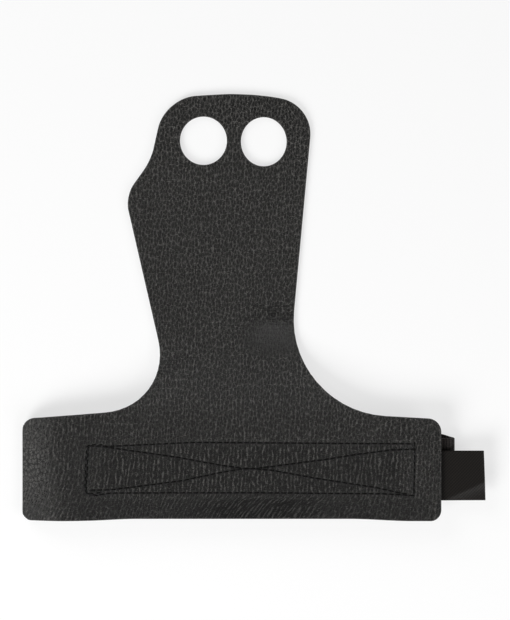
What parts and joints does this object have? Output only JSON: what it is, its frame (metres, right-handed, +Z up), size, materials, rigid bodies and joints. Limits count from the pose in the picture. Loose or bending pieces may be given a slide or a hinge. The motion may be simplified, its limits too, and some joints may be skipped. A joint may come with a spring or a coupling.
{
  "type": "gymnastics palm grip",
  "caption": "Leather palm grip with finger holes, a wide wrist band and a hook-and-loop wrist strap sewn behind the band, lying flat with its wrist loop closed.",
  "frame": {"origin": "under the middle of the stitched box on the wrist band, on the surface that the strap lies on", "axes": "+X along the wrist band towards the hook tab, +Y from the wrist to the fingers, +Z up, out of the grain side"},
  "size_m": [0.1897, 0.1758, 0.0104],
  "materials": {
    "leather": "pebbled grain, matte black, napped flesh side",
    "loop_tape": "black loop pile tape",
    "hook_tape": "black twill-woven back of hook tape",
    "hooks": "black nylon hooks",
    "thread": "black bonded thread"
  },
  "bodies": {
    "band": {"wristband_leather": "leather", "loop_strap_sewn": "loop_tape", "hook_tab_root": "hook_tape", "needle_thread_box": "thread", "needle_thread_cross": "thread", "bobbin_thread_box": "thread", "bobbin_thread_cross": "thread"},
    "palm": {"palm_leather": "leather"},
    "fingers": {"finger_leather": "leather"},
    "strap": {"loop_strap_return": "loop_tape"},
    "tab": {"hook_tab_tip": "hook_tape", "hook_field": "hooks"}
  },
  "joints": [
    {"name": "palm_flex", "type": "hinge", "parent": "band", "child": "palm", "pos_m": [0, 0.06, 0.0011], "axis": [1, 0, 0], "range_deg": [-75, 100]},
    {"name": "finger_flex", "type": "hinge", "parent": "palm", "child": "fingers", "pos_m": [0, 0.116, 0.0011], "axis": [1, 0, 0], "range_deg": [-30, 90]},
    {"name": "strap_open", "type": "hinge", "parent": "band", "child": "strap", "pos_m": [-0.0792, 0, 0.004], "axis": [0, 1, 0], "range_deg": [0, 100]},
    {"name": "tab_peel", "type": "hinge", "parent": "band", "child": "tab", "pos_m": [0.079, -0.0031, 0.0072], "axis": [0, -1, 0], "range_deg": [0, 85]}
  ]
}
